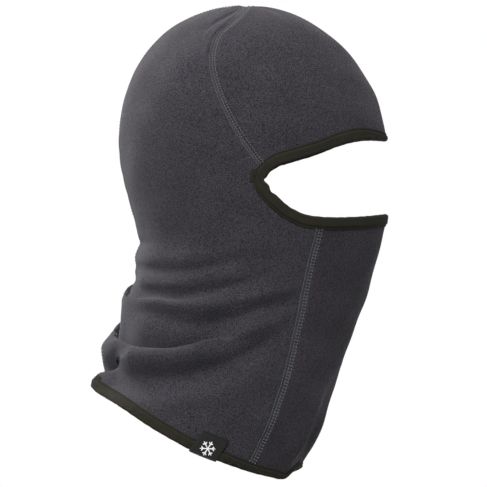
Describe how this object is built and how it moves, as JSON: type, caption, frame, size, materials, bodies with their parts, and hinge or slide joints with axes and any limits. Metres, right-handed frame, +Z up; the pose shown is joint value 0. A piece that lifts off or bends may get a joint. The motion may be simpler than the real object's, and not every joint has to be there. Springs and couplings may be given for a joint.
{
  "type": "fleece balaclava",
  "caption": "Close-fitting fleece hood for the head and neck with a wide eye opening, flatlock seams, taped edges and a folded hem label.",
  "frame": {"origin": "middle of the wearer's head, level with the middle of the face opening", "axes": "+X forward, out of the face opening; +Y to the wearer's left; +Z up, through the crown"},
  "size_m": [0.2229, 0.157, 0.3548],
  "materials": {
    "fleece": "brushed fleece, charcoal",
    "fleece_smooth": "brushed fleece, charcoal, a little flatter",
    "tape": "knitted elastic tape, near-black",
    "grey_thread": "textured polyester thread, light grey",
    "dark_thread": "polyester thread, near-black",
    "white_thread": "woven polyester, white",
    "label_ribbon": "woven damask ribbon, black",
    "care_ribbon": "satin ribbon, white"
  },
  "bodies": {
    "hood": {"side_panel_right": "fleece", "side_panel_left": "fleece", "forehead_panel": "fleece", "face_panel": "fleece_smooth", "face_binding": "tape", "face_binding_join": "tape", "hem_binding": "tape", "hem_binding_join": "tape", "face_binding_topstitch": "dark_thread", "face_binding_underthread": "dark_thread", "hem_binding_topstitch": "dark_thread", "hem_binding_underthread": "dark_thread", "forehead_seam_needle_threads": "grey_thread", "forehead_seam_cover_thread": "grey_thread", "forehead_seam_looper_thread": "grey_thread", "chin_seam_right_needle_threads": "grey_thread", "chin_seam_right_cover_thread": "grey_thread", "chin_seam_right_looper_thread": "grey_thread", "chin_seam_left_needle_threads": "grey_thread", "chin_seam_left_cover_thread": "grey_thread", "chin_seam_left_looper_thread": "grey_thread", "back_seam_needle_threads": "grey_thread", "back_seam_cover_thread": "grey_thread", "back_seam_looper_thread": "grey_thread", "woven_label": "label_ribbon", "label_emblem": "white_thread", "label_stitches": "dark_thread", "care_label_stitches": "care_ribbon"},
    "care_label": {"care_label": "care_ribbon"}
  },
  "joints": [
    {"name": "care_label_swing", "type": "hinge", "parent": "hood", "child": "care_label", "pos_m": [-0.0902, 0, -0.092], "axis": [0, -1, 0], "range_deg": [-15, 90]}
  ]
}
